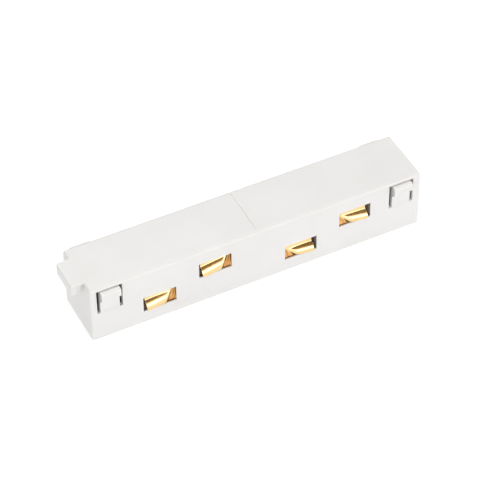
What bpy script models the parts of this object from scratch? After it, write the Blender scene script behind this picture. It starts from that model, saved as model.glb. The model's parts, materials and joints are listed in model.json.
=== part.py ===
"""Straight connector for a low-voltage track light.

A white moulded box that is pushed into the track bottom face first, until its four barbs
catch. Sprung brass contacts look out of windows in both long sides and touch the conductors
of the two track lengths that it joins. X runs along the connector, the keyed tab is at -X,
Z is up, and the origin is on the bottom face, under the groove that marks where the two
tracks meet. Depths are measured inwards from the outer face of a long side.
"""
import math

import bmesh
import bpy

MM = 0.001

# Body
LEFT_END = -46.0 * MM
RIGHT_END = 46.5 * MM
BODY_WIDTH = 16.5 * MM
BODY_HEIGHT = 17.4 * MM
EDGE_RADIUS = 0.8 * MM
SIDE_WALL = 1.2 * MM
END_WALL = 1.6 * MM
TOP_WALL = 1.2 * MM
GAP = 0.3 * MM

# Keyed tab on the left end
TAB_REACH = 3.4 * MM
TAB_WIDTH = 9.2 * MM
TAB_THICKNESS = 2.9 * MM
TAB_NOSE_RADIUS = 1.2 * MM
TAB_CORNER_RADIUS = 1.0 * MM
TAB_LOWER_RADIUS = 0.25 * MM
TAB_SLOT_WIDTH = 0.75 * MM
TAB_SLOT_RADIUS = 0.15 * MM
TAB_NECK = 0.9 * MM

# Groove across the top at mid-length
GROOVE_WIDTH = 0.55 * MM
GROOVE_DEPTH = 0.3 * MM
GROOVE_LENGTH = 14.2 * MM

# Contact windows, two rows on each long side
WINDOW_LENGTH = 9.0 * MM
WINDOW_HEIGHT = 4.6 * MM
ROW_Z = {"low": 6.4 * MM, "high": 11.05 * MM}
INNER_WINDOW_X = 12.0 * MM
OUTER_WINDOW_X = 27.4 * MM
WINDOW_X = {"low": (-OUTER_WINDOW_X, INNER_WINDOW_X), "high": (-INNER_WINDOW_X, OUTER_WINDOW_X)}

# Latches, one at each end of each long side
LATCH_X = 40.75 * MM
LATCH_OPENING_WIDTH = 6.9 * MM
LATCH_WIDTH = 5.2 * MM
LATCH_ROOT_Z = 9.0 * MM
LATCH_OPENING_TOP = 16.5 * MM
LATCH_TOP = 16.1 * MM
LATCH_BARB = 1.4 * MM
LATCH_BARB_FOOT = 12.6 * MM
LATCH_BARB_LIP = 14.1 * MM
LATCH_NOSE_RADIUS = 0.9 * MM
LATCH_FOOT_RADIUS = 0.25 * MM
LATCH_LIP_RADIUS = 0.2 * MM
LATCH_HINGE_DEPTH = SIDE_WALL / 2

# Sprung contact fingers, pressed from the same sheet as the bar that joins them. A finger's
# nose stands proud of the face, to press on the conductor. Its thickness is measured along
# its depth, so that its sloping faces come out as thin as the bar.
SHEET = 0.3 * MM
FINGER_SHEET = 0.35 * MM
STRIP_DEPTH = 2.0 * MM
HINGE_DEPTH = STRIP_DEPTH + SHEET / 2
NOSE_REACH = 0.4 * MM
PRESS_HEIGHT = STRIP_DEPTH + NOSE_REACH
HINGE_BEHIND_WALL = 0.6 * MM
RAMP_FOOT = 1.0 * MM
RAMP_SLOPE = 1.32
FINGER_END = 8.15 * MM
FINGER_BOTTOM = -2.05 * MM
FINGER_NOSE = -1.7 * MM
FINGER_CREST = 0.4 * MM
FINGER_TOP = 2.05 * MM
NOSE_CURL = 0.3 * MM
NOSE_BEND_RISE = 0.13 * MM
NOSE_BEND_CURL = 0.07 * MM
CREST_BOW = 0.35
CREST_STEPS = 4
BAR_HEIGHT = 2.6 * MM
SHOULDER_LENGTH = 2.0 * MM

# Carrier that holds the strips inside the box
CARRIER_LENGTH = 71.2 * MM
CARRIER_WALL = 2.8 * MM
CARRIER_ROOF = 1.5 * MM
WEB = 1.0 * MM
RIB = 1.4 * MM
RIB_X = (-19.7 * MM, 0.0, 19.7 * MM)
POCKET_CLEARANCE = 0.05 * MM

# Snap-in bottom cover
COVER_THICKNESS = 1.4 * MM
CLIP_X = (-19.7 * MM, 0.0, 19.7 * MM)
CLIP_WIDTH = 4.0 * MM
CLIP_THICKNESS = 0.9 * MM
CLIP_TOP = 4.1 * MM
CLIP_BEAD = 0.5 * MM
CLIP_BEAD_Z = 3.4 * MM
CLIP_BEAD_HALF = 0.4 * MM

INNER_HALF_WIDTH = BODY_WIDTH / 2 - SIDE_WALL
INNER_LEFT = LEFT_END + END_WALL
INNER_RIGHT = RIGHT_END - END_WALL
CEILING = BODY_HEIGHT - TOP_WALL
CARRIER_HALF_WIDTH = INNER_HALF_WIDTH - GAP
CARRIER_BOTTOM = COVER_THICKNESS + GAP
CARRIER_TOP = CEILING - GAP
LAND = SIDE_WALL + GAP

# How far a cutting body runs past a face, and how far two of them stay apart
REACH_PAST = 1.0 * MM
SKIN = 0.01 * MM


def clear_scene():
    for thing in list(bpy.data.objects):
        bpy.data.objects.remove(thing, do_unlink=True)


def make_material(name, colour, roughness, metallic):
    material = bpy.data.materials.new(name)
    material.use_nodes = True
    shader = material.node_tree.nodes["Principled BSDF"]
    shader.inputs["Base Color"].default_value = (*colour, 1.0)
    shader.inputs["Roughness"].default_value = roughness
    shader.inputs["Metallic"].default_value = metallic
    material.diffuse_color = (*colour, 1.0)
    return material


def make_object(name, mesh, material=None):
    thing = bpy.data.objects.new(name, mesh)
    bpy.context.scene.collection.objects.link(thing)
    if material:
        mesh.materials.clear()
        mesh.materials.append(material)
    return thing


def mesh_from(name, bm):
    """Turns a bmesh into a mesh whose faces point out."""
    bmesh.ops.recalc_face_normals(bm, faces=bm.faces)
    mesh = bpy.data.meshes.new(name)
    bm.to_mesh(mesh)
    bm.free()
    return mesh


def add_box(bm, low, high):
    """Adds a closed box between two corners and returns its vertices."""
    verts = bmesh.ops.create_cube(bm, size=1.0)["verts"]
    for vert in verts:
        for axis in range(3):
            vert.co[axis] = low[axis] if vert.co[axis] < 0 else high[axis]
    return verts


def rounded_outline(corners, segments=4):
    """Walks round a polygon of (u, v, radius) corners and turns each radius into an arc."""
    points = []
    for index, (u, v, radius) in enumerate(corners):
        if radius == 0:
            points.append((u, v))
            continue
        before = corners[index - 1]
        after = corners[(index + 1) % len(corners)]
        to_before = math.atan2(before[1] - v, before[0] - u)
        to_after = math.atan2(after[1] - v, after[0] - u)
        turn = math.remainder(to_after - to_before, math.tau)
        to_centre = to_before + turn / 2
        distance = radius / abs(math.sin(turn / 2))
        centre_u = u + distance * math.cos(to_centre)
        centre_v = v + distance * math.sin(to_centre)
        start = to_before - math.copysign(math.pi / 2, turn)
        sweep = math.copysign(math.pi - abs(turn), turn)
        for step in range(segments + 1):
            angle = start - sweep * step / segments
            points.append((centre_u + radius * math.cos(angle), centre_v + radius * math.sin(angle)))
    return points


def add_prism(bm, outline, place, low, high):
    """Adds a closed prism: place(u, v, w) puts the outline at w = low and w = high."""
    bottom = [bm.verts.new(place(u, v, low)) for u, v in outline]
    top = [bm.verts.new(place(u, v, high)) for u, v in outline]
    count = len(outline)
    for index in range(count):
        following = (index + 1) % count
        bm.faces.new((bottom[index], bottom[following], top[following], top[index]))
    bm.faces.new(bottom[::-1])
    bm.faces.new(top)


def combine(thing, name, bm, operation="DIFFERENCE"):
    """Cuts, joins or trims an object with a hidden tool body, and returns the tool."""
    tool = make_object(name, mesh_from(name, bm))
    tool.hide_render = True
    tool.display_type = "WIRE"
    boolean = thing.modifiers.new(name, "BOOLEAN")
    boolean.operation = operation
    boolean.object = tool
    return tool


def window_places():
    """Yields side, row, end, centre x and outward direction of each contact window."""
    for side in ("front", "back"):
        for row in ("low", "high"):
            for end, x in zip(("left", "right"), WINDOW_X[row]):
                yield side, row, end, x, (-1 if end == "left" else 1)


def side_sign(side):
    return -1 if side == "front" else 1


def around(centre, half):
    return centre - half, centre + half


def add_side_box(bm, side, x_range, depth_range, z_range):
    """Adds a box given by its depths under the outer face of a long side."""
    sign = side_sign(side)
    y_ends = sorted(sign * (BODY_WIDTH / 2 - depth) for depth in depth_range)
    add_box(bm, (x_range[0], y_ends[0], z_range[0]), (x_range[1], y_ends[1], z_range[1]))


def rounded_body():
    """The outer box with all its edges rounded."""
    bm = bmesh.new()
    half_width = BODY_WIDTH / 2
    add_box(bm, (LEFT_END, -half_width, 0), (RIGHT_END, half_width, BODY_HEIGHT))
    bmesh.ops.bevel(bm, geom=bm.edges[:], offset=EDGE_RADIUS, segments=4, profile=0.5, affect="EDGES")
    return bm


def add_tab(thing):
    """A neck under the top face and a round-nosed lip, which keys into the neighbour."""
    root = LEFT_END + EDGE_RADIUS + END_WALL / 4
    lip = LEFT_END - TAB_SLOT_WIDTH
    tip = LEFT_END - TAB_REACH
    underside = BODY_HEIGHT - TAB_THICKNESS
    neck = BODY_HEIGHT - TAB_NECK
    profile = rounded_outline((
        (root, BODY_HEIGHT, 0),
        (tip, BODY_HEIGHT, TAB_NOSE_RADIUS),
        (tip, underside, TAB_LOWER_RADIUS),
        (lip, underside, TAB_SLOT_RADIUS),
        (lip, neck, 0),
        (root, neck, 0),
    ))
    side_view = bmesh.new()
    add_prism(side_view, profile, lambda u, v, w: (u, w, v), -TAB_WIDTH, TAB_WIDTH)
    tab = combine(thing, "tab_side_view", side_view, "UNION")

    half = TAB_WIDTH / 2
    plan = rounded_outline((
        (tip, -half, TAB_CORNER_RADIUS),
        (RIGHT_END, -half, 0),
        (RIGHT_END, half, 0),
        (tip, half, TAB_CORNER_RADIUS),
    ))
    plan_view = bmesh.new()
    add_prism(plan_view, plan, lambda u, v, w: (u, v, w), 0, BODY_HEIGHT + REACH_PAST)
    combine(tab, "tab_plan_view", plan_view, "INTERSECT")


def build_housing(material):
    thing = make_object("housing", mesh_from("housing", rounded_body()), material)
    add_tab(thing)

    cavity = bmesh.new()
    low = (INNER_LEFT, -INNER_HALF_WIDTH, -REACH_PAST)
    add_box(cavity, low, (INNER_RIGHT, INNER_HALF_WIDTH, CEILING))
    combine(thing, "cavity", cavity)

    openings = bmesh.new()
    through = (-REACH_PAST, LAND)
    for side, row, _, x, _ in window_places():
        lengthwise = around(x, WINDOW_LENGTH / 2)
        add_side_box(openings, side, lengthwise, through, around(ROW_Z[row], WINDOW_HEIGHT / 2))
    for side in ("front", "back"):
        for x in (-LATCH_X, LATCH_X):
            lengthwise = around(x, LATCH_OPENING_WIDTH / 2)
            add_side_box(openings, side, lengthwise, through, (LATCH_ROOT_Z, LATCH_OPENING_TOP))
    combine(thing, "side_openings", openings)

    grooves = bmesh.new()
    depths = (SIDE_WALL - CLIP_BEAD, LAND)
    heights = around(CLIP_BEAD_Z, CLIP_BEAD_HALF + GAP)
    for side in ("front", "back"):
        for x in CLIP_X:
            add_side_box(grooves, side, around(x, CLIP_WIDTH / 2 + GAP), depths, heights)
    combine(thing, "clip_grooves", grooves)

    groove = bmesh.new()
    outline = [(-GROOVE_WIDTH, BODY_HEIGHT + GROOVE_DEPTH), (0, BODY_HEIGHT - GROOVE_DEPTH),
               (GROOVE_WIDTH, BODY_HEIGHT + GROOVE_DEPTH)]
    add_prism(groove, outline, lambda u, v, w: (u, w, v), -GROOVE_LENGTH / 2, GROOVE_LENGTH / 2)
    combine(thing, "middle_groove", groove)


def build_latches(material):
    """Snap tongues: flush below, with a barb that slopes out and ends in a flat catching top."""
    bm = bmesh.new()
    foot = LATCH_ROOT_Z + GAP
    profile = rounded_outline((
        (0, foot, 0),
        (0, LATCH_BARB_FOOT, LATCH_FOOT_RADIUS),
        (-LATCH_BARB, LATCH_BARB_LIP, LATCH_LIP_RADIUS),
        (-LATCH_BARB, LATCH_TOP, LATCH_NOSE_RADIUS),
        (SIDE_WALL, LATCH_TOP, LATCH_LIP_RADIUS),
        (SIDE_WALL, foot, 0),
    ))
    half = LATCH_WIDTH / 2
    add_prism(bm, profile, lambda u, v, w: (w, u - LATCH_HINGE_DEPTH, v - LATCH_ROOT_Z), -half, half)
    mesh = mesh_from("latch", bm)
    for side in ("front", "back"):
        for end, x in (("left", -LATCH_X), ("right", LATCH_X)):
            thing = make_object(f"latch_{side}_{end}", mesh, material)
            hinge_y = side_sign(side) * (BODY_WIDTH / 2 - LATCH_HINGE_DEPTH)
            thing.location = (x, hinge_y, LATCH_ROOT_Z)
            thing.rotation_euler.z = 0 if side == "front" else math.pi


def crest_rise(fraction):
    """How far the finger stands out, from its nose (0) up to where it meets the sheet (1)."""
    return PRESS_HEIGHT * (1 - (1 - CREST_BOW) * fraction - CREST_BOW * fraction ** 2)


def finger_rows():
    """Heights across the finger, each with how far the sheet is pressed out there."""
    rows = [(FINGER_BOTTOM, PRESS_HEIGHT - NOSE_CURL)]
    rows.append((FINGER_BOTTOM + NOSE_BEND_RISE, PRESS_HEIGHT - NOSE_BEND_CURL))
    for step in range(CREST_STEPS + 1):
        fraction = step / CREST_STEPS
        rows.append((FINGER_NOSE + (FINGER_CREST - FINGER_NOSE) * fraction, crest_rise(fraction)))
    rows.append((FINGER_TOP, 0.0))
    return rows


def finger_columns():
    """Distances along the finger from its window's inner end, with the ramp's rise at each."""
    columns = [(-HINGE_BEHIND_WALL + GAP / 2, 0.0)]
    for step in range(CREST_STEPS, -1, -1):
        rise = crest_rise(step / CREST_STEPS)
        columns.append((RAMP_FOOT + rise / RAMP_SLOPE, rise))
    columns.append((FINGER_END, PRESS_HEIGHT))
    return columns


def add_split_quad(bm, corners, centre_y):
    """Splits a bent quad along the diagonal that passes nearer to its true centre."""
    a, b, c, d = corners
    if abs((a.co.y + c.co.y) / 2 - centre_y) < abs((b.co.y + d.co.y) / 2 - centre_y):
        bm.faces.new((a, b, c))
        bm.faces.new((a, c, d))
    else:
        bm.faces.new((a, b, d))
        bm.faces.new((b, c, d))


def grid_rim(columns, rows):
    """Walks round the border of a grid of points."""
    rim = [(i, 0) for i in range(columns)]
    rim += [(columns - 1, j) for j in range(1, rows)]
    rim += [(i, rows - 1) for i in range(columns - 2, -1, -1)]
    rim += [(0, j) for j in range(rows - 2, 0, -1)]
    return rim


def finger_mesh(direction):
    """Pressed sheet finger, standing out by the smaller of its ramp and its cross-section."""
    bm = bmesh.new()
    columns = finger_columns()
    rows = finger_rows()
    layers = []
    for offset in (0.0, FINGER_SHEET):
        sheet_y = STRIP_DEPTH - HINGE_DEPTH + offset
        verts = []
        for s, ramp in columns:
            x = direction * (s + HINGE_BEHIND_WALL)
            verts.append([bm.verts.new((x, sheet_y - min(ramp, crest), z)) for z, crest in rows])
        layers.append(verts)
        for i in range(len(columns) - 1):
            for j in range(len(rows) - 1):
                rise = min(columns[i][1] + columns[i + 1][1], rows[j][1] + rows[j + 1][1]) / 2
                corners = (verts[i][j], verts[i + 1][j], verts[i + 1][j + 1], verts[i][j + 1])
                add_split_quad(bm, corners, sheet_y - rise)
    outer, inner = layers
    rim = grid_rim(len(columns), len(rows))
    for (i, j), (k, m) in zip(rim, rim[1:] + rim[:1]):
        bm.faces.new((outer[i][j], outer[k][m], inner[k][m], inner[i][j]))
    return mesh_from("finger", bm)


def build_fingers(material):
    meshes = {direction: finger_mesh(direction) for direction in (-1, 1)}
    for side, row, end, x, outward in window_places():
        turned = side == "back"
        mesh = meshes[-outward if turned else outward]
        thing = make_object(f"finger_{side}_{row}_{end}", mesh, material)
        hinge_x = x - outward * (WINDOW_LENGTH / 2 + HINGE_BEHIND_WALL)
        hinge_y = side_sign(side) * (BODY_WIDTH / 2 - HINGE_DEPTH)
        thing.location = (hinge_x, hinge_y, ROW_Z[row])
        thing.rotation_euler.z = math.pi if turned else 0


def build_strips(material):
    """Flat bars, one for each pole and side, that join a left finger to a right one."""
    span = INNER_WINDOW_X + OUTER_WINDOW_X - WINDOW_LENGTH - 2 * HINGE_BEHIND_WALL
    end = span / 2 - GAP / 2
    shoulder = end - SHOULDER_LENGTH
    bar = BAR_HEIGHT / 2
    tall = FINGER_TOP
    lower = [(-end, -tall), (-shoulder, -tall), (-shoulder, -bar), (shoulder, -bar), (shoulder, -tall),
             (end, -tall)]
    outline = lower + [(-u, -v) for u, v in lower]
    for side in ("front", "back"):
        for row in ("low", "high"):
            bm = bmesh.new()
            add_prism(bm, outline, lambda u, v, w: (u, w, v), -SHEET / 2, SHEET / 2)
            name = f"strip_{side}_{row}"
            thing = make_object(name, mesh_from(name, bm), material)
            middle = sum(WINDOW_X[row]) / 2
            thing.location = (middle, side_sign(side) * (BODY_WIDTH / 2 - HINGE_DEPTH), ROW_Z[row])


def build_carrier(material):
    """Insulating core: grooves hold the strips, and open pockets let the fingers give."""
    half_length = CARRIER_LENGTH / 2
    bm = bmesh.new()
    low = (-half_length, -CARRIER_HALF_WIDTH, CARRIER_BOTTOM)
    add_box(bm, low, (half_length, CARRIER_HALF_WIDTH, CARRIER_TOP))
    thing = make_object("contact_carrier", mesh_from("contact_carrier", bm), material)

    hollows = bmesh.new()
    depths = (LAND + CARRIER_WALL, BODY_WIDTH / 2 - WEB / 2)
    heights = (CARRIER_BOTTOM - REACH_PAST, CARRIER_TOP - CARRIER_ROOF)
    walls = [-half_length + RIB / 2, *RIB_X, half_length - RIB / 2]
    for side in ("front", "back"):
        for left, right in zip(walls, walls[1:]):
            add_side_box(hollows, side, (left + RIB / 2, right - RIB / 2), depths, heights)
    combine(thing, "carrier_hollows", hollows)

    strip_depths = (LAND - REACH_PAST, STRIP_DEPTH + SHEET + GAP)
    bars = bmesh.new()
    for side in ("front", "back"):
        for row, (left, right) in WINDOW_X.items():
            lengthwise = (left + WINDOW_LENGTH / 2, right - WINDOW_LENGTH / 2)
            add_side_box(bars, side, lengthwise, strip_depths, around(ROW_Z[row], BAR_HEIGHT / 2 + GAP))
    combine(thing, "bar_grooves", bars)

    recesses = bmesh.new()
    pockets = bmesh.new()
    pocket_depths = (LAND, LAND + CARRIER_WALL + REACH_PAST)
    half = WINDOW_HEIGHT / 2 + POCKET_CLEARANCE
    shoulder_end = WINDOW_LENGTH / 2 + HINGE_BEHIND_WALL + SHOULDER_LENGTH + 2 * GAP
    for side, row, _, x, outward in window_places():
        shoulder_x = x - outward * shoulder_end
        pocket_x = x - outward * (WINDOW_LENGTH / 2 - RAMP_FOOT / 2)
        tip_x = x + outward * (WINDOW_LENGTH / 2 + GAP)
        recess = sorted((shoulder_x, tip_x))
        add_side_box(recesses, side, recess, strip_depths, around(ROW_Z[row], half))
        pocket = sorted((pocket_x, tip_x - outward * SKIN))
        add_side_box(pockets, side, pocket, pocket_depths, around(ROW_Z[row], half - SKIN))
    combine(thing, "finger_recesses", recesses)
    combine(thing, "finger_pockets", pockets)

    notches = bmesh.new()
    depths = (LAND - REACH_PAST, LAND + CLIP_THICKNESS + GAP)
    heights = (CARRIER_BOTTOM - REACH_PAST, CLIP_TOP + GAP)
    for side in ("front", "back"):
        for x in CLIP_X:
            add_side_box(notches, side, around(x, CLIP_WIDTH / 2 + GAP), depths, heights)
    combine(thing, "clip_notches", notches)


def build_cover(material):
    """Bottom cover: a plate between the walls with beaded clips that snap behind them."""
    bm = bmesh.new()
    low = (INNER_LEFT + GAP, -CARRIER_HALF_WIDTH, 0)
    add_box(bm, low, (INNER_RIGHT - GAP, CARRIER_HALF_WIDTH, COVER_THICKNESS))
    thing = make_object("bottom_cover", mesh_from("bottom_cover", bm), material)

    clips = bmesh.new()
    foot = COVER_THICKNESS / 2
    profile = [(0, foot), (0, CLIP_BEAD_Z - CLIP_BEAD_HALF), (-CLIP_BEAD, CLIP_BEAD_Z), (0, CLIP_TOP),
               (CLIP_THICKNESS, CLIP_TOP), (CLIP_THICKNESS, foot)]
    for side in ("front", "back"):
        sign = side_sign(side)
        for x in CLIP_X:
            ends = around(x, CLIP_WIDTH / 2)
            add_prism(clips, profile, lambda u, v, w: (w, sign * (CARRIER_HALF_WIDTH - u), v), *ends)
    combine(thing, "cover_clips", clips, "UNION")


def main():
    clear_scene()
    white = make_material("white_plastic", (0.86, 0.86, 0.85), 0.45, 0.0)
    grey = make_material("carrier_plastic", (0.40, 0.37, 0.34), 0.55, 0.0)
    brass = make_material("contact_brass", (0.86, 0.62, 0.24), 0.18, 1.0)
    build_housing(white)
    build_latches(white)
    build_carrier(grey)
    build_strips(brass)
    build_fingers(brass)
    build_cover(white)


main()
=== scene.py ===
"""Looks of a straight connector for a low-voltage track light.

The white housing, its latch tongues and the pressed brass contacts are modelled again here
with their real roundings, over the same sizes as the solids of the frame. The cover and the
contact strips are softened copies of their solids, and the carrier is its solid. X runs along
the connector, the front is at -Y and Z is up, in metres. Depths are measured inwards from the
outer face of a long side.
"""
import json
import math

import bmesh
import bpy
from mathutils import Matrix, Vector

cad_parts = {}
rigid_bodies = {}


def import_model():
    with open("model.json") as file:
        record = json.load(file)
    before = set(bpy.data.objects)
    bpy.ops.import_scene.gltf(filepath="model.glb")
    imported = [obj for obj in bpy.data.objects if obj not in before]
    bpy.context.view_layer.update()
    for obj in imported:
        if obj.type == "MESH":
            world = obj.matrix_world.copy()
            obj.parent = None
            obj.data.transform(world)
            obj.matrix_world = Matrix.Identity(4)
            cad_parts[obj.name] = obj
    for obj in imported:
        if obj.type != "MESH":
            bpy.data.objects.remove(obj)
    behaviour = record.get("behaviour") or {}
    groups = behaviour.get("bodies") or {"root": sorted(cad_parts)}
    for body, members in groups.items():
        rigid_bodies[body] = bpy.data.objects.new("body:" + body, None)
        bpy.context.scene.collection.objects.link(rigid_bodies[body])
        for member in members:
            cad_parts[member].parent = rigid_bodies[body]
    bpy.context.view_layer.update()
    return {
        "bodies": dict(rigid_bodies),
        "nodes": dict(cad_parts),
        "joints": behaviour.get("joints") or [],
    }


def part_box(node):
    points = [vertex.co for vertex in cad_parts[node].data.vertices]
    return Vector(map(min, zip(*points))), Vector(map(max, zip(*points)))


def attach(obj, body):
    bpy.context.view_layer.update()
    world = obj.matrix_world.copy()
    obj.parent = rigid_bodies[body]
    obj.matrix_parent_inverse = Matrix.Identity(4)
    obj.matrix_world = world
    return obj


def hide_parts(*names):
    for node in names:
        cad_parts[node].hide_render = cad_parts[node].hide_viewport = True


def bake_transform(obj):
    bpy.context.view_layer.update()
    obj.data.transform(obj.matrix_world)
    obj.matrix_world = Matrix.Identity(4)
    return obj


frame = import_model()

MM = 0.001
X, Y, Z = range(3)

# Fineness and tolerances of the meshes
ARC_SEGMENTS = 10
SAME_POINT = 0.002 * MM
SAME_PLANE = 0.005 * MM
FLAT_ANGLE = math.radians(1)
SHARP_ANGLE = math.radians(40)
SHADED_SHARP_ANGLE = math.radians(50)

# Housing, with the outer sizes of its solid
HOUSING_LOW, HOUSING_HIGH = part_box("housing")
HALF_WIDTH = HOUSING_HIGH.y
HEIGHT = HOUSING_HIGH.z
RIGHT_END = HOUSING_HIGH.x
TAB_TIP = HOUSING_LOW.x
TAB_REACH = 3.4 * MM
LEFT_END = TAB_TIP + TAB_REACH
EDGE_RADIUS = 0.8 * MM
SIDE_WALL = 1.2 * MM
END_WALL = 1.6 * MM
TOP_WALL = 1.2 * MM

# Softened edges
RIM_SOFTENING = 0.1 * MM
COVER_SOFTENING = 0.12 * MM
STRIP_SOFTENING = 0.03 * MM

# Keyed tab, which reaches into the housing by its overlap
TAB_WIDTH = 9.2 * MM
TAB_THICKNESS = 2.9 * MM
TAB_NOSE_RADIUS = 0.6 * MM
TAB_CORNER_RADIUS = 1.0 * MM
TAB_LOWER_RADIUS = 0.25 * MM
TAB_SLOT_WIDTH = 0.75 * MM
TAB_NECK = 0.9 * MM
TAB_OVERLAP = END_WALL / 4

# Groove in the top
GROOVE_WIDTH = 0.5 * MM
GROOVE_DEPTH = 0.22 * MM
GROOVE_LENGTH = 14.2 * MM

# Contact windows, each with a thin lip and a recess behind it
WINDOW_LENGTH = 9.0 * MM
WINDOW_HEIGHT = 4.6 * MM
WINDOW_LIP = 0.4 * MM
WINDOW_RECESS = 0.9 * MM
WINDOW_RECESS_ABOVE = WINDOW_RECESS / 2
WINDOW_RECESS_BELOW = 2.0 * MM
HINGE_TO_WINDOW = 0.6 * MM

# Contact fingers, with heights measured from the hinge
FINGER_LENGTH = 8.75 * MM
FINGER_BOTTOM = -2.15 * MM
FINGER_NOSE = -1.9 * MM
FINGER_TOP = 1.9 * MM
SKIRT_BOTTOM = -2.8 * MM
SHEET_DEPTH = 2.0 * MM
SHELF_DEPTH = 1.35 * MM
NOSE_REACH = 0.4 * MM
ROOT_DEPTH = 1.86 * MM
VALLEY_DEPTH = 1.95 * MM
SHEET = 0.3 * MM
SHEARED_EDGE = 0.04 * MM
SHEARED_EDGE_ANGLE = math.radians(60)
FINGER_GRID_ALONG = 120
FINGER_GRID_ACROSS = 64

# Painted shade and reflection on the brass: how far the root stands out past the ramp, from none to full
ROOT_SHADE_MARK = "root_bend"
ROOT_SHADE_FROM = -0.1 * MM
ROOT_SHADE_TO = 0.3 * MM

# How the fingers differ: crest, ramp and skirt by end, and the twist of the section by row
BENDS = {
    "left": {
        "Crest": 0.4 * MM,
        "Ramp Lean": 0.3,
        "Shoulder Bend": 1.5 * MM,
        "Skirt Start": 2.2 * MM,
        "Skirt End": 3.35 * MM,
    },
    "right": {
        "Crest": 0.05 * MM,
        "Ramp Lean": 0.6,
        "Shoulder Bend": 2.4 * MM,
        "Skirt Start": 3.1 * MM,
        "Skirt End": 4.3 * MM,
    },
    "low": {"Twist": 40.0},
    "high": {"Twist": 80.0},
}

# Grooves for the cover's clips, inside the long walls
CLIP_X = (-19.7 * MM, 0.0, 19.7 * MM)
CLIP_GROOVE_LENGTH = 4.6 * MM
CLIP_GROOVE_DEPTH = 0.7 * MM
CLIP_GROOVE_Z = (2.7 * MM, 4.1 * MM)

# Latches, each a tongue in an opening of the wall
LATCH_OPENING_WIDTH = 6.9 * MM
LATCH_OPENING_TOP = 16.5 * MM
LATCH_WIDTH = 5.2 * MM
LATCH_SIDE_GAP = 0.01 * MM
LATCH_FOOT_RISE = 0.15 * MM
LATCH_TOP = 16.3 * MM
LATCH_BARB = 1.4 * MM
LATCH_BARB_FOOT = 12.6 * MM
LATCH_BARB_FOOT_RADIUS = 0.3 * MM
LATCH_BARB_LIP = 14.1 * MM
LATCH_NOSE_RADIUS = 0.9 * MM
LATCH_EDGE_RADIUS = 0.2 * MM
LATCH_BEND_END = 10.6 * MM
LATCH_BEND_STEPS = 10

# Depths that the bodies which cut a long wall span; past is how far they reach beyond it
PAST = 1.0 * MM
THROUGH_THE_WALL = (-PAST, SIDE_WALL + PAST)
BEHIND_THE_LIP = (WINDOW_LIP, SIDE_WALL + PAST)
INSIDE_THE_WALL = (CLIP_GROOVE_DEPTH, SIDE_WALL + PAST)

joint_at = {joint["child"]: Vector(joint["pos_m"]) for joint in frame["joints"]}
latch_bodies = [name for name in frame["bodies"] if name.startswith("latch_")]
finger_bodies = [name for name in frame["bodies"] if name.startswith("finger_")]


# Mesh tools

def mesh_from(name, bm, recalculate=True):
    if recalculate:
        bmesh.ops.recalc_face_normals(bm, faces=bm.faces)
    mesh = bpy.data.meshes.new(name)
    bm.to_mesh(mesh)
    bm.free()
    return mesh


def new_object(name, data):
    thing = bpy.data.objects.new(name, data)
    bpy.context.scene.collection.objects.link(thing)
    return thing


def settle(thing):
    """Turns what an object's modifiers make into its plain mesh."""
    depsgraph = bpy.context.evaluated_depsgraph_get()
    made = bpy.data.meshes.new_from_object(thing.evaluated_get(depsgraph))
    thing.modifiers.clear()
    thing.data = made


def add_box(bm, low, high):
    for vert in bmesh.ops.create_cube(bm, size=1.0)["verts"]:
        for axis in (X, Y, Z):
            vert.co[axis] = low[axis] if vert.co[axis] < 0 else high[axis]


def add_prism(bm, outline, place, low, high):
    """Adds a closed prism: place(u, v, w) puts the outline at w = low and w = high."""
    first = [bm.verts.new(place(u, v, low)) for u, v in outline]
    last = [bm.verts.new(place(u, v, high)) for u, v in outline]
    count = len(outline)
    for index in range(count):
        following = (index + 1) % count
        bm.faces.new((first[index], first[following], last[following], last[index]))
    bm.faces.new(first[::-1])
    bm.faces.new(last)


def rounded_outline(corners):
    """Walks round a polygon of (u, v, radius) corners and turns each radius into an arc."""
    points = []
    for index, (u, v, radius) in enumerate(corners):
        if radius == 0:
            points.append((u, v))
            continue
        before = corners[index - 1]
        after = corners[(index + 1) % len(corners)]
        to_before = math.atan2(before[1] - v, before[0] - u)
        to_after = math.atan2(after[1] - v, after[0] - u)
        turn = math.remainder(to_after - to_before, math.tau)
        to_centre = to_before + turn / 2
        distance = radius / abs(math.sin(turn / 2))
        centre_u = u + distance * math.cos(to_centre)
        centre_v = v + distance * math.sin(to_centre)
        start = to_before - math.copysign(math.pi / 2, turn)
        sweep = math.copysign(math.pi - abs(turn), turn)
        for step in range(ARC_SEGMENTS + 1):
            angle = start - sweep * step / ARC_SEGMENTS
            points.append((centre_u + radius * math.cos(angle), centre_v + radius * math.sin(angle)))
    return points


def combine(thing, bm, operation="DIFFERENCE"):
    """Cuts, joins or trims an object with a body that is then thrown away."""
    tool = new_object("tool", mesh_from("tool", bm))
    boolean = thing.modifiers.new("combine", "BOOLEAN")
    boolean.operation = operation
    boolean.object = tool
    settle(thing)
    bpy.data.objects.remove(tool)


def lies_at(edge, axis, centre, half=0):
    """Whether both ends of an edge lie half away from a centre on an axis, on either side of it."""
    return all(abs(abs(vert.co[axis] - centre) - half) < SAME_PLANE for vert in edge.verts)


def soften(thing, width, chosen, segments=3, merge_flat=True):
    """Rounds the sharp edges that chosen(edge) picks, once flat neighbours are merged if asked."""
    bm = bmesh.new()
    bm.from_mesh(thing.data)
    if merge_flat:
        bmesh.ops.remove_doubles(bm, verts=bm.verts, dist=SAME_POINT)
        bmesh.ops.dissolve_limit(bm, angle_limit=FLAT_ANGLE, verts=bm.verts, edges=bm.edges)
    picked = [edge for edge in bm.edges if edge.calc_face_angle(0) > SHARP_ANGLE and chosen(edge)]
    bmesh.ops.bevel(bm, geom=picked, offset=width, segments=segments, profile=0.5, affect="EDGES")
    bm.to_mesh(thing.data)
    bm.free()


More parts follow.
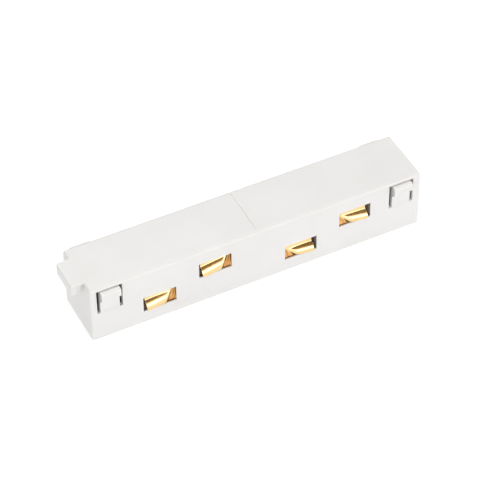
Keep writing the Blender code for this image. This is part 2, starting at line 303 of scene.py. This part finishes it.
def shade(thing, material):
    """Smooth shading that keeps flat faces flat, and one material."""
    mesh = thing.data
    mesh.materials.clear()
    mesh.materials.append(material)
    mesh.shade_smooth()
    mesh.set_sharp_from_angle(angle=SHADED_SHARP_ANGLE)
    normals = thing.modifiers.new("flat faces stay flat", "WEIGHTED_NORMAL")
    normals.keep_sharp = True
    settle(thing)


def side_of(name):
    return -1 if "front" in name else 1


def end_of(name):
    return -1 if name.endswith("left") else 1


def around(centre, half):
    return centre - half, centre + half


def add_side_box(bm, side, x_range, depth_range, z_range):
    """Adds a box given by its depths under the outer face of a long side."""
    y_low, y_high = sorted(side * (HALF_WIDTH - depth) for depth in depth_range)
    add_box(bm, (x_range[0], y_low, z_range[0]), (x_range[1], y_high, z_range[1]))


# Node tools

def feed(tree, socket, value):
    """Links an input to another node's output, or sets it to a plain value."""
    if isinstance(value, bpy.types.NodeSocket):
        tree.links.new(value, socket)
    else:
        socket.default_value = value


def math_node(tree, operation, *values):
    node = tree.nodes.new("ShaderNodeMath")
    node.operation = operation
    for socket, value in zip(node.inputs, values):
        feed(tree, socket, value)
    return node.outputs["Value"]


def map_range(tree, value, low, high, first, last, interpolation="SMOOTHSTEP"):
    """Goes from first, where the value is low, to last, where it is high."""
    node = tree.nodes.new("ShaderNodeMapRange")
    node.interpolation_type = interpolation
    feed(tree, node.inputs["Value"], value)
    feed(tree, node.inputs["From Min"], low)
    feed(tree, node.inputs["From Max"], high)
    feed(tree, node.inputs["To Min"], first)
    feed(tree, node.inputs["To Max"], last)
    return node.outputs["Result"]


def mix_colours(tree, factor, first, last):
    node = tree.nodes.new("ShaderNodeMix")
    node.data_type = "RGBA"
    feed(tree, node.inputs["Factor"], factor)
    feed(tree, node.inputs["A"], first)
    feed(tree, node.inputs["B"], last)
    return node.outputs["Result"]


# Materials

NOISE_LOW = 0.3
NOISE_HIGH = 0.7


def new_material(name):
    material = bpy.data.materials.new(name)
    material.use_nodes = True
    tree = material.node_tree
    return material, tree, tree.nodes["Principled BSDF"]


def noise(tree, scale, detail, stretch=(1, 1, 1)):
    """Noise over the object's own coordinates, stretched along an axis where asked."""
    coordinates = tree.nodes.new("ShaderNodeTexCoord")
    mapping = tree.nodes.new("ShaderNodeMapping")
    mapping.inputs["Scale"].default_value = stretch
    texture = tree.nodes.new("ShaderNodeTexNoise")
    texture.inputs["Scale"].default_value = scale
    texture.inputs["Detail"].default_value = detail
    tree.links.new(coordinates.outputs["Object"], mapping.inputs["Vector"])
    tree.links.new(mapping.outputs["Vector"], texture.inputs["Vector"])
    return texture.outputs["Fac"]


def spread(tree, value, low, high):
    """Maps the middle of a noise to a range of numbers."""
    return map_range(tree, value, NOISE_LOW, NOISE_HIGH, low, high, interpolation="LINEAR")


def tint(tree, value, dark, light):
    """Colours a noise between two tones."""
    ramp = tree.nodes.new("ShaderNodeValToRGB")
    ramp.color_ramp.elements[0].position = NOISE_LOW
    ramp.color_ramp.elements[0].color = (*dark, 1)
    ramp.color_ramp.elements[1].position = NOISE_HIGH
    ramp.color_ramp.elements[1].color = (*light, 1)
    tree.links.new(value, ramp.inputs["Fac"])
    return ramp.outputs["Color"]


def bump(tree, shader, height, strength, distance):
    node = tree.nodes.new("ShaderNodeBump")
    node.inputs["Strength"].default_value = strength
    node.inputs["Distance"].default_value = distance
    tree.links.new(height, node.inputs["Height"])
    tree.links.new(node.outputs["Normal"], shader.inputs["Normal"])


def white_plastic():
    """Satin white moulding, with the fine grain of a spark-eroded mould."""
    material, tree, shader = new_material("satin_white_plastic")
    clouds = noise(tree, scale=70, detail=3)
    smears = noise(tree, scale=900, detail=4)
    grain = noise(tree, scale=5200, detail=3)
    tone = tint(tree, clouds, dark=(0.667, 0.659, 0.650), light=(0.692, 0.685, 0.677))
    tree.links.new(tone, shader.inputs["Base Color"])
    tree.links.new(spread(tree, smears, low=0.31, high=0.34), shader.inputs["Roughness"])
    shader.inputs["Specular IOR Level"].default_value = 0.95
    shader.inputs["Subsurface Weight"].default_value = 0.5
    shader.inputs["Subsurface Radius"].default_value = (1.0, 0.92, 0.84)
    shader.inputs["Subsurface Scale"].default_value = 0.9 * MM
    bump(tree, shader, grain, strength=0.04, distance=0.01 * MM)
    return material


def contact_brass():
    """Bright rolled and pressed brass, streaked across it, with painted shade and reflection at the root
    bend.
    """
    material, tree, shader = new_material("pressed_contact_brass")
    streaks = noise(tree, scale=2600, detail=3, stretch=(1, 1, 0.06))
    # Painted shade and reflection: the root bend is tinted streaky orange for the shade there and the
    # light that brass throws onto brass
    shade_streaks = noise(tree, scale=1500, detail=2, stretch=(1, 1, 0.05))
    bright = tint(tree, streaks, dark=(0.88, 0.60, 0.27), light=(0.93, 0.69, 0.37))
    root_shade_tone = tint(tree, shade_streaks, dark=(0.52, 0.25, 0.07), light=(0.86, 0.49, 0.19))
    how_shaded = tree.nodes.new("ShaderNodeAttribute")
    how_shaded.attribute_name = ROOT_SHADE_MARK
    tone = mix_colours(tree, how_shaded.outputs["Fac"], bright, root_shade_tone)
    tree.links.new(tone, shader.inputs["Base Color"])
    shader.inputs["Metallic"].default_value = 1.0
    tree.links.new(spread(tree, streaks, low=0.1, high=0.2), shader.inputs["Roughness"])
    bump(tree, shader, streaks, strength=0.25, distance=0.01 * MM)
    return material


def carrier_plastic():
    """Dark insulating moulding, matt and slightly grainy."""
    material, tree, shader = new_material("dark_carrier_plastic")
    clouds = noise(tree, scale=500, detail=3)
    smears = noise(tree, scale=1500, detail=3)
    grain = noise(tree, scale=4000, detail=3)
    tone = tint(tree, clouds, dark=(0.42, 0.36, 0.295), light=(0.47, 0.41, 0.34))
    tree.links.new(tone, shader.inputs["Base Color"])
    tree.links.new(spread(tree, smears, low=0.5, high=0.65), shader.inputs["Roughness"])
    bump(tree, shader, grain, strength=0.2, distance=0.02 * MM)
    return material


# Housing

def rounded_body():
    bm = bmesh.new()
    add_box(bm, (LEFT_END, -HALF_WIDTH, 0), (RIGHT_END, HALF_WIDTH, HEIGHT))
    bmesh.ops.bevel(bm, geom=bm.edges[:], offset=EDGE_RADIUS, segments=ARC_SEGMENTS, profile=0.5,
                    affect="EDGES")
    return bm


def tab_body():
    """A neck under the top face and a round-nosed lip, rounded in side view and in plan."""
    root = LEFT_END + EDGE_RADIUS + TAB_OVERLAP
    lip = LEFT_END - TAB_SLOT_WIDTH
    underside = HEIGHT - TAB_THICKNESS
    neck = HEIGHT - TAB_NECK
    profile = rounded_outline((
        (root, HEIGHT, 0),
        (TAB_TIP, HEIGHT, TAB_NOSE_RADIUS),
        (TAB_TIP, underside, TAB_LOWER_RADIUS),
        (lip, underside, TAB_LOWER_RADIUS / 2),
        (lip, neck, TAB_LOWER_RADIUS),
        (root, neck, 0),
    ))
    side_view = bmesh.new()
    add_prism(side_view, profile, lambda u, v, w: (u, w, v), -TAB_WIDTH, TAB_WIDTH)
    tab = new_object("tab", mesh_from("tab", side_view))
    half = TAB_WIDTH / 2
    plan = rounded_outline((
        (TAB_TIP, -half, TAB_CORNER_RADIUS),
        (0, -half, 0),
        (0, half, 0),
        (TAB_TIP, half, TAB_CORNER_RADIUS),
    ))
    plan_view = bmesh.new()
    add_prism(plan_view, plan, lambda u, v, w: (u, v, w), 0, HEIGHT + PAST)
    combine(tab, plan_view, "INTERSECT")
    bm = bmesh.new()
    bm.from_mesh(tab.data)
    bpy.data.objects.remove(tab)
    return bm


def hollow_out(shell):
    cavity = bmesh.new()
    half = HALF_WIDTH - SIDE_WALL
    add_box(cavity, (LEFT_END + END_WALL, -half, -PAST), (RIGHT_END - END_WALL, half, HEIGHT - TOP_WALL))
    combine(shell, cavity)


def window_of(finger):
    """X and Z of the middle of the window that a finger looks out of."""
    hinge = joint_at[finger]
    reach = WINDOW_LENGTH / 2 + HINGE_TO_WINDOW
    return hinge.x + end_of(finger) * reach, hinge.z


def cut_windows(shell):
    windows = bmesh.new()
    recesses = bmesh.new()
    for finger in finger_bodies:
        side = side_of(finger)
        x, z = window_of(finger)
        z_low, z_high = around(z, WINDOW_HEIGHT / 2)
        add_side_box(windows, side, around(x, WINDOW_LENGTH / 2), THROUGH_THE_WALL, (z_low, z_high))
        add_side_box(recesses, side, around(x, WINDOW_LENGTH / 2 + WINDOW_RECESS), BEHIND_THE_LIP,
                     (z_low - WINDOW_RECESS_BELOW, z_high + WINDOW_RECESS_ABOVE))
    combine(shell, windows)
    combine(shell, recesses)


def cut_latch_openings(shell):
    """Cuts a slot on each side of a tongue, and then the place of the tongue itself."""
    slots = bmesh.new()
    tongues = bmesh.new()
    for latch in latch_bodies:
        x, _, root = joint_at[latch]
        side = side_of(latch)
        for end in (-1, 1):
            slot = sorted((x + end * LATCH_WIDTH / 2, x + end * LATCH_OPENING_WIDTH / 2))
            add_side_box(slots, side, slot, THROUGH_THE_WALL, (root, LATCH_OPENING_TOP))
        add_side_box(tongues, side, around(x, LATCH_WIDTH / 2 + LATCH_SIDE_GAP), THROUGH_THE_WALL,
                     (root + LATCH_FOOT_RISE, LATCH_OPENING_TOP))
    combine(shell, slots)
    combine(shell, tongues)


def cut_clip_grooves(shell):
    grooves = bmesh.new()
    for side in (-1, 1):
        for x in CLIP_X:
            add_side_box(grooves, side, around(x, CLIP_GROOVE_LENGTH / 2), INSIDE_THE_WALL, CLIP_GROOVE_Z)
    combine(shell, grooves)


def cut_top_groove(shell):
    groove = bmesh.new()
    outline = (
        (-GROOVE_WIDTH, HEIGHT + GROOVE_DEPTH),
        (0, HEIGHT - GROOVE_DEPTH),
        (GROOVE_WIDTH, HEIGHT + GROOVE_DEPTH),
    )
    add_prism(groove, outline, lambda u, v, w: (u, w, v), -GROOVE_LENGTH / 2, GROOVE_LENGTH / 2)
    combine(shell, groove)


def build_housing(material):
    shell = new_object("housing_shell", mesh_from("housing_shell", rounded_body()))
    combine(shell, tab_body(), "UNION")
    hollow_out(shell)
    cut_windows(shell)
    cut_latch_openings(shell)
    cut_clip_grooves(shell)
    cut_top_groove(shell)
    foot = joint_at[latch_bodies[0]].z + LATCH_FOOT_RISE

    def on_a_rim(edge):
        return lies_at(edge, Y, 0, HALF_WIDTH) and not lies_at(edge, Z, foot)

    soften(shell, RIM_SOFTENING, on_a_rim)
    shade(shell, material)
    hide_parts("housing")
    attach(shell, "body")


# Latches

def latch_profile(foot):
    """Outline of a tongue as (depth, height) points, with extra points where it bends."""
    rise = (LATCH_BEND_END - foot) / LATCH_BEND_STEPS
    bend_heights = [foot + rise * step for step in range(1, LATCH_BEND_STEPS + 1)]
    return rounded_outline((
        (0, foot, 0),
        *((0, height, 0) for height in bend_heights),
        (0, LATCH_BARB_FOOT, LATCH_BARB_FOOT_RADIUS),
        (-LATCH_BARB, LATCH_BARB_LIP, LATCH_EDGE_RADIUS),
        (-LATCH_BARB, LATCH_TOP, LATCH_NOSE_RADIUS),
        (SIDE_WALL, LATCH_TOP, LATCH_EDGE_RADIUS),
        *((SIDE_WALL, height, 0) for height in bend_heights[::-1]),
        (SIDE_WALL, foot, 0),
    ))


def build_latches(material):
    """Snap tongues that grow out of the wall, with a sloping barb that ends in a flat top."""
    for latch in latch_bodies:
        x, _, root = joint_at[latch]
        side = side_of(latch)
        foot = root + LATCH_FOOT_RISE
        bm = bmesh.new()
        add_prism(bm, latch_profile(foot), lambda u, v, w: (w, side * (HALF_WIDTH - u), v),
                  *around(x, LATCH_WIDTH / 2))
        tongue = new_object(latch.replace("latch", "latch_tongue"), mesh_from(latch, bm))

        def on_a_flank(edge):
            return lies_at(edge, X, x, LATCH_WIDTH / 2) and not lies_at(edge, Z, foot)

        soften(tongue, RIM_SOFTENING, on_a_flank, merge_flat=False)
        shade(tongue, material)
        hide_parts(latch)
        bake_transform(tongue)


# Contacts

def finger_tree(material):
    """Geometry nodes that press a contact finger out of a flat strip of sheet.

    The sheet lies in the XZ plane and starts at its hinge, at X = 0. There its root leans out
    to the window's lip and falls into a rippled valley. From the valley each point stands out
    by the lower of a leaning ramp and the finger's cross-section, which curves from a shelf
    under the window's top down to the nose. The section twists along the finger and stands out
    furthest at the free end. A skirt makes the sheet taller where it lies behind the lip. What
    lies before the ramp is marked for painted shade and reflection in the brass.
    """
    tree = bpy.data.node_groups.new("pressed contact finger", "GeometryNodeTree")
    sizes = {
        "Length": FINGER_LENGTH,
        "Bottom": FINGER_BOTTOM,
        "Top": FINGER_TOP,
        "Skirt Bottom": SKIRT_BOTTOM,
        "Nose": FINGER_NOSE,
        "Reach": SHEET_DEPTH + NOSE_REACH,
        "Shelf": SHEET_DEPTH - SHELF_DEPTH,
        "Tilt": 0.08,
        "Twist Middle": 6.0 * MM,
        "Root Reach": SHEET_DEPTH - ROOT_DEPTH,
        "Root Lean": 0.3,
        "Root Start": 0.1 * MM,
        "Root Top": 0.6 * MM,
        "Valley Slope": 1.5,
        "Valley": SHEET_DEPTH - VALLEY_DEPTH,
        "Ripple": 0.02 * MM,
        "Ripple Length": 0.42 * MM,
        "Ramp Foot": 0.95 * MM,
        "Ramp Slope": 1.32,
        "Crest Bend": 0.28 * MM,
        "Root Bend": 0.4 * MM,
        **BENDS["low"],
        **BENDS["left"],
    }
    for name, value in sizes.items():
        socket = tree.interface.new_socket(name, in_out="INPUT", socket_type="NodeSocketFloat")
        socket.default_value = value
    tree.interface.new_socket("Geometry", in_out="OUTPUT", socket_type="NodeSocketGeometry")
    given = tree.nodes.new("NodeGroupInput").outputs

    def calculate(operation, *values):
        return math_node(tree, operation, *values)

    # Flat strip
    grid = tree.nodes.new("GeometryNodeMeshGrid")
    grid.inputs["Vertices X"].default_value = FINGER_GRID_ALONG
    grid.inputs["Vertices Y"].default_value = FINGER_GRID_ACROSS
    flat_width = calculate("SUBTRACT", given["Top"], given["Bottom"])
    tree.links.new(given["Length"], grid.inputs["Size X"])
    tree.links.new(flat_width, grid.inputs["Size Y"])
    position = tree.nodes.new("GeometryNodeInputPosition")
    split = tree.nodes.new("ShaderNodeSeparateXYZ")
    tree.links.new(position.outputs["Position"], split.inputs["Vector"])
    along = calculate("ADD", split.outputs["X"], calculate("MULTIPLY", given["Length"], 0.5))
    middle = calculate("MULTIPLY", calculate("ADD", given["Top"], given["Bottom"]), 0.5)
    flat_height = calculate("ADD", split.outputs["Y"], middle)

    # Skirt
    skirt = map_range(tree, along, given["Skirt Start"], given["Skirt End"],
                      given["Skirt Bottom"], given["Bottom"])
    stretch = calculate("DIVIDE", calculate("SUBTRACT", given["Top"], skirt), flat_width)
    below_top = calculate("SUBTRACT", given["Top"], flat_height)
    height = calculate("SUBTRACT", given["Top"], calculate("MULTIPLY", below_top, stretch))

    # Root and valley
    past_root = calculate("SUBTRACT", along, given["Root Top"])
    fall = calculate("MULTIPLY", past_root, given["Valley Slope"])
    valley = calculate("SMOOTH_MAX", calculate("SUBTRACT", given["Root Reach"], fall),
                       given["Valley"], given["Root Bend"])
    risen = calculate("DIVIDE", calculate("SUBTRACT", along, given["Root Start"]),
                      calculate("SUBTRACT", given["Root Top"], given["Root Start"]))
    riser = calculate("MULTIPLY", risen, given["Root Reach"])
    turns = calculate("MULTIPLY", calculate("DIVIDE", along, given["Ripple Length"]), math.tau)
    ripple = calculate("MULTIPLY", given["Ripple"], calculate("SINE", turns))
    upright = calculate("ADD", calculate("SMOOTH_MIN", riser, valley, given["Root Bend"]), ripple)
    lower_down = calculate("SUBTRACT", given["Top"], height)
    root = calculate("ADD", upright, calculate("MULTIPLY", lower_down, given["Root Lean"]))

    # Cross-section
    over_nose = calculate("DIVIDE", calculate("SUBTRACT", height, given["Nose"]),
                          calculate("SUBTRACT", given["Crest"], given["Nose"]))
    pressed = calculate("SUBTRACT", given["Reach"], given["Shelf"])
    bow = calculate("MULTIPLY", pressed, calculate("MULTIPLY", over_nose, over_nose))
    arm = calculate("MULTIPLY", calculate("SUBTRACT", along, given["Twist Middle"]), given["Twist"])
    twist = calculate("MULTIPLY", arm, calculate("SUBTRACT", height, given["Nose"]))
    slope = calculate("SUBTRACT", calculate("SUBTRACT", given["Reach"], bow), twist)
    section = calculate("SMOOTH_MAX", slope, given["Shelf"], given["Crest Bend"])
    short_of_end = calculate("SUBTRACT", given["Length"], along)
    tilted = calculate("SUBTRACT", section, calculate("MULTIPLY", given["Tilt"], short_of_end))

    # Ramp
    lean = calculate("MULTIPLY", given["Ramp Lean"], calculate("SUBTRACT", given["Crest"], height))
    past_foot = calculate("SUBTRACT", along, calculate("ADD", given["Ramp Foot"], lean))
    ramp = calculate("MULTIPLY", past_foot, given["Ramp Slope"])
    finger = calculate("SMOOTH_MIN", ramp, tilted, given["Shoulder Bend"])
    rise = calculate("SMOOTH_MAX", root, finger, given["Root Bend"])

    # Mark for the painted shade and reflection at the root bend
    mark = tree.nodes.new("GeometryNodeStoreNamedAttribute")
    mark.data_type = "FLOAT"
    mark.domain = "POINT"
    mark.inputs["Name"].default_value = ROOT_SHADE_MARK
    before_ramp = map_range(tree, calculate("SUBTRACT", root, ramp), ROOT_SHADE_FROM, ROOT_SHADE_TO, 0, 1)
    tree.links.new(grid.outputs["Mesh"], mark.inputs["Geometry"])
    tree.links.new(before_ramp, mark.inputs["Value"])

    # Pressed sheet
    place = tree.nodes.new("ShaderNodeCombineXYZ")
    tree.links.new(along, place.inputs["X"])
    tree.links.new(calculate("MULTIPLY", rise, -1.0), place.inputs["Y"])
    tree.links.new(height, place.inputs["Z"])
    press = tree.nodes.new("GeometryNodeSetPosition")
    tree.links.new(mark.outputs["Geometry"], press.inputs["Geometry"])
    tree.links.new(place.outputs["Vector"], press.inputs["Position"])
    realize = tree.nodes.new("GeometryNodeRealizeInstances")
    tree.links.new(press.outputs["Geometry"], realize.inputs["Geometry"])
    finish = tree.nodes.new("GeometryNodeSetMaterial")
    finish.inputs["Material"].default_value = material
    tree.links.new(realize.outputs["Geometry"], finish.inputs["Geometry"])
    result = tree.nodes.new("NodeGroupOutput")
    tree.links.new(finish.outputs["Geometry"], result.inputs["Geometry"])
    return tree


def build_contacts(material):
    """Fingers of pressed sheet, each with the bends of its row and end."""
    tree = finger_tree(material)
    inputs = {item.name: item.identifier for item in tree.interface.items_tree}
    for finger in finger_bodies:
        contact = new_object(finger.replace("finger", "contact_finger"), bpy.data.meshes.new(finger))
        press = contact.modifiers.new("press", "NODES")
        press.node_group = tree
        row, end = finger.split("_")[2:]
        for size, value in (BENDS[row] | BENDS[end]).items():
            press[inputs[size]] = value
        thickness = contact.modifiers.new("sheet", "SOLIDIFY")
        thickness.thickness = SHEET
        thickness.offset = -1
        edges = contact.modifiers.new("sheared edges", "BEVEL")
        edges.width = SHEARED_EDGE
        edges.segments = 2
        edges.limit_method = "ANGLE"
        edges.angle_limit = SHEARED_EDGE_ANGLE
        settle(contact)
        side = side_of(finger)
        hinge = joint_at[finger]
        place = Matrix.Translation((hinge.x, side * (HALF_WIDTH - SHEET_DEPTH), hinge.z))
        turned = Matrix.Diagonal((end_of(finger), -side, 1, 1))
        contact.data.transform(place @ turned)
        if turned.is_negative:
            contact.data.flip_normals()
        shade(contact, material)
        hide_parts(finger)
        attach(contact, finger)


# Softened copies of the solids

def build_softened_copy(node, name, width, material):
    """A copy of a solid with its sharp edges rounded."""
    mesh = frame["nodes"][node].data.copy()
    piece = new_object(name, mesh)
    soften(piece, width, lambda edge: True, segments=2)
    shade(piece, material)
    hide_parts(node)
    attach(piece, "body")


# Studio

CAMERA_TARGET = Vector((-1.107, 0.0, 7.885)) * MM
CAMERA_DISTANCE = 590.99 * MM
CAMERA_AZIMUTH = math.radians(-26.294)
CAMERA_ELEVATION = math.radians(44.466)
CAMERA_ROLL = math.radians(-0.712)
CAMERA_LENS_MM = 175.34
CAMERA_SENSOR_MM = 36.0
SOFTBOX_DISTANCE = 0.9
FLOOR_SIZE = 3
FLOOR_DROP = 0.02 * MM
FLOOR_TONE = (0.4, 0.4, 0.4, 1)
FLOOR_ROUGHNESS = 0.9
FLOOR_GLOW = 0.65

# Even tent with a brighter front panel and a darker opening, whose angles are in degrees
TENT_STRENGTH = 0.62
PANEL_STRENGTH = 0.58
PANEL_PLACE = {"azimuth": 15, "elevation": 5, "inner": 56, "outer": 76}
PANEL_TOP_STARTS = 43
PANEL_TOP_ENDS = 49
OPENING_STRENGTH = 0.22
OPENING_PLACE = {"azimuth": 20, "elevation": 66, "inner": 18, "outer": 26}
OPENING_TINT = (1, 0.72, 0.42, 1)
WHITE = (1, 1, 1, 1)


def direction(azimuth, elevation):
    """Unit vector towards a place round the object: azimuth 0 is in front, 90 to the right."""
    flat = math.cos(elevation)
    return Vector((math.sin(azimuth) * flat, -math.cos(azimuth) * flat, math.sin(elevation)))


def build_camera():
    camera = new_object("camera", bpy.data.cameras.new("camera"))
    camera.data.lens = CAMERA_LENS_MM
    camera.data.sensor_width = CAMERA_SENSOR_MM
    back = direction(CAMERA_AZIMUTH, CAMERA_ELEVATION)
    camera.location = CAMERA_TARGET + back * CAMERA_DISTANCE
    level = (-back).to_track_quat("-Z", "Y").to_matrix().to_4x4()
    rolled = level @ Matrix.Rotation(CAMERA_ROLL, 4, "Z")
    camera.rotation_euler = rolled.to_euler()
    bpy.context.scene.camera = camera


def add_softbox(name, azimuth, elevation, width, height, power):
    data = bpy.data.lights.new(name, "AREA")
    data.shape = "RECTANGLE"
    data.size = width
    data.size_y = height
    data.energy = power
    light = new_object(name, data)
    towards = direction(math.radians(azimuth), math.radians(elevation))
    light.location = towards * SOFTBOX_DISTANCE
    light.rotation_euler = towards.to_track_quat("Z", "Y").to_euler()


def light_the_tent(tree):
    """An even white tent with a lit front panel and a warm, darker opening above the camera."""
    coordinates = tree.nodes.new("ShaderNodeTexCoord")

    def near(azimuth, elevation, inner, outer):
        """1 within the inner angle round a direction, and 0 outside the outer one."""
        node = tree.nodes.new("ShaderNodeVectorMath")
        node.operation = "DOT_PRODUCT"
        node.inputs[1].default_value = direction(math.radians(azimuth), math.radians(elevation))
        tree.links.new(coordinates.outputs["Generated"], node.inputs[0])
        return map_range(tree, node.outputs["Value"], math.cos(math.radians(outer)),
                         math.cos(math.radians(inner)), 0, 1)

    split = tree.nodes.new("ShaderNodeSeparateXYZ")
    tree.links.new(coordinates.outputs["Generated"], split.inputs["Vector"])
    below_panel_top = map_range(tree, split.outputs["Z"], math.sin(math.radians(PANEL_TOP_STARTS)),
                                math.sin(math.radians(PANEL_TOP_ENDS)), PANEL_STRENGTH, 0)
    panel = math_node(tree, "MULTIPLY", below_panel_top, near(**PANEL_PLACE))
    opening = near(**OPENING_PLACE)
    tent = map_range(tree, opening, 0, 1, TENT_STRENGTH, OPENING_STRENGTH)
    background = tree.nodes["Background"]
    tree.links.new(math_node(tree, "ADD", tent, panel), background.inputs["Strength"])
    tree.links.new(mix_colours(tree, opening, WHITE, OPENING_TINT), background.inputs["Color"])


def build_floor():
    bm = bmesh.new()
    bmesh.ops.create_grid(bm, x_segments=1, y_segments=1, size=FLOOR_SIZE)
    floor = new_object("floor", mesh_from("floor", bm, recalculate=False))
    floor.location.z = -FLOOR_DROP
    material, _, shader = new_material("white_floor")
    shader.inputs["Base Color"].default_value = FLOOR_TONE
    shader.inputs["Roughness"].default_value = FLOOR_ROUGHNESS
    shader.inputs["Emission Color"].default_value = WHITE
    shader.inputs["Emission Strength"].default_value = FLOOR_GLOW
    floor.data.materials.append(material)


def build_studio():
    scene = bpy.context.scene
    scene.view_settings.view_transform = "Standard"
    world = bpy.data.worlds.new("studio")
    scene.world = world
    world.use_nodes = True
    light_the_tent(world.node_tree)
    build_floor()
    add_softbox("overhead", azimuth=174, elevation=67, width=0.8, height=0.7, power=3.4)
    add_softbox("front left", azimuth=-30, elevation=48, width=0.4, height=0.3, power=1.35)
    add_softbox("strip", azimuth=24, elevation=28, width=0.62, height=0.32, power=1.25)


white = white_plastic()
brass = contact_brass()
dark = carrier_plastic()
build_camera()
build_housing(white)
build_latches(white)
build_contacts(brass)
build_softened_copy("bottom_cover", "cover", COVER_SOFTENING, white)
for slot in frame["nodes"]["contact_carrier"].material_slots:
    slot.material = dark
for strip in (node for node in frame["nodes"] if node.startswith("strip_")):
    name = strip.replace("strip", "contact_strip")
    build_softened_copy(strip, name, STRIP_SOFTENING, brass)
build_studio()
